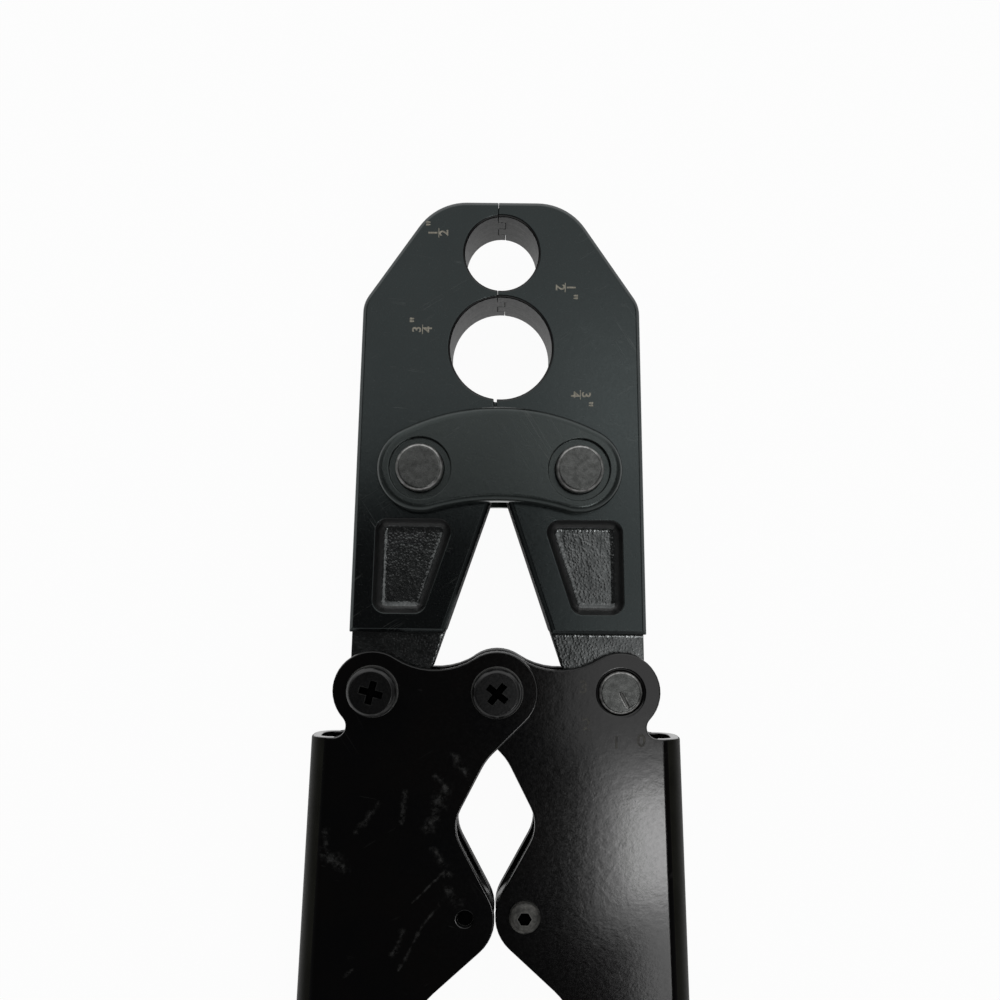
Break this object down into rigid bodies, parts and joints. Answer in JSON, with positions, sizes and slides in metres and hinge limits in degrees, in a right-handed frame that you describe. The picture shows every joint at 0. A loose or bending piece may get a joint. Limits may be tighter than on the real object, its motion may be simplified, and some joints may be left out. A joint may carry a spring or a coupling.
{
  "type": "pex crimp tool",
  "caption": "Long-handled hand tool that closes copper crimp rings on plastic pipe, with two die bores in pinned jaws and a compound lever linkage.",
  "frame": {"origin": "centre of the footprint, on the surface that the tool lies on", "axes": "+X to the right of the front face, +Y along the tool towards the jaws, +Z out of the front face"},
  "size_m": [0.1096, 0.4004, 0.028],
  "materials": {
    "jaw_steel": "black oxide on forged steel, rough in its pockets",
    "handle_paint": "semi-gloss black paint on folded sheet, scuffed",
    "pin_steel": "dark brushed steel with worn bevels",
    "screw_steel": "black screw steel with worn rims",
    "spacer_steel": "plain dark steel",
    "grip_rubber": "matt black moulded grip"
  },
  "bodies": {
    "left_handle": {"left_handle_channel": "handle_paint", "left_grip": "grip_rubber", "left_stop": "spacer_steel", "left_stop_screw": "screw_steel", "left_tang_washer": "spacer_steel", "left_jaw_pivot_barrel": "screw_steel", "left_jaw_pivot_washer": "spacer_steel", "left_jaw_pivot_screw": "screw_steel", "centre_pivot_barrel": "screw_steel", "centre_pivot_washer": "spacer_steel", "centre_pivot_screw": "screw_steel", "centre_spacer": "spacer_steel"},
    "right_handle": {"right_handle_channel": "handle_paint", "right_grip": "grip_rubber", "right_stop": "spacer_steel", "right_stop_screw": "screw_steel", "right_tang_washer": "spacer_steel"},
    "left_jaw": {"left_jaw": "jaw_steel"},
    "right_jaw": {"right_jaw": "jaw_steel"},
    "link": {"front_link_plate": "jaw_steel", "rear_link_plate": "jaw_steel", "left_link_pin": "pin_steel", "right_link_pin": "pin_steel"},
    "adjuster": {"adjusting_pin": "pin_steel", "adjuster_washer": "spacer_steel", "adjuster_nut": "screw_steel"}
  },
  "joints": [
    {"name": "handle_hinge", "type": "hinge", "parent": "left_handle", "child": "right_handle", "pos_m": [0, 0.1004, 0.014], "axis": [0, 0, 1], "range_deg": [0, 128.6]},
    {"name": "left_jaw_hinge", "type": "hinge", "parent": "left_handle", "child": "left_jaw", "pos_m": [-0.0254, 0.1004, 0.014], "axis": [0, 0, 1], "range_deg": [0, 82.35]},
    {"name": "link_hinge", "type": "hinge", "parent": "left_jaw", "child": "link", "pos_m": [-0.0159, 0.14545, 0.014], "axis": [0, 0, 1], "range_deg": [-18.05, 0]},
    {"name": "right_jaw_hinge", "type": "hinge", "parent": "right_handle", "child": "right_jaw", "pos_m": [0.0254, 0.1004, 0.014], "axis": [0, 0, 1], "range_deg": [-82.35, 0]},
    {"name": "adjuster_turn", "type": "hinge", "parent": "right_handle", "child": "adjuster", "pos_m": [0.0254, 0.1004, 0.014], "axis": [0, 0, 1], "range_deg": [-128, 0]}
  ],
  "couplings": [
    {"joint": "left_jaw_hinge", "follows": "handle_hinge", "ratio": 0.63997},
    {"joint": "link_hinge", "follows": "handle_hinge", "ratio": -0.13997},
    {"joint": "right_jaw_hinge", "follows": "handle_hinge", "ratio": -0.63997}
  ]
}
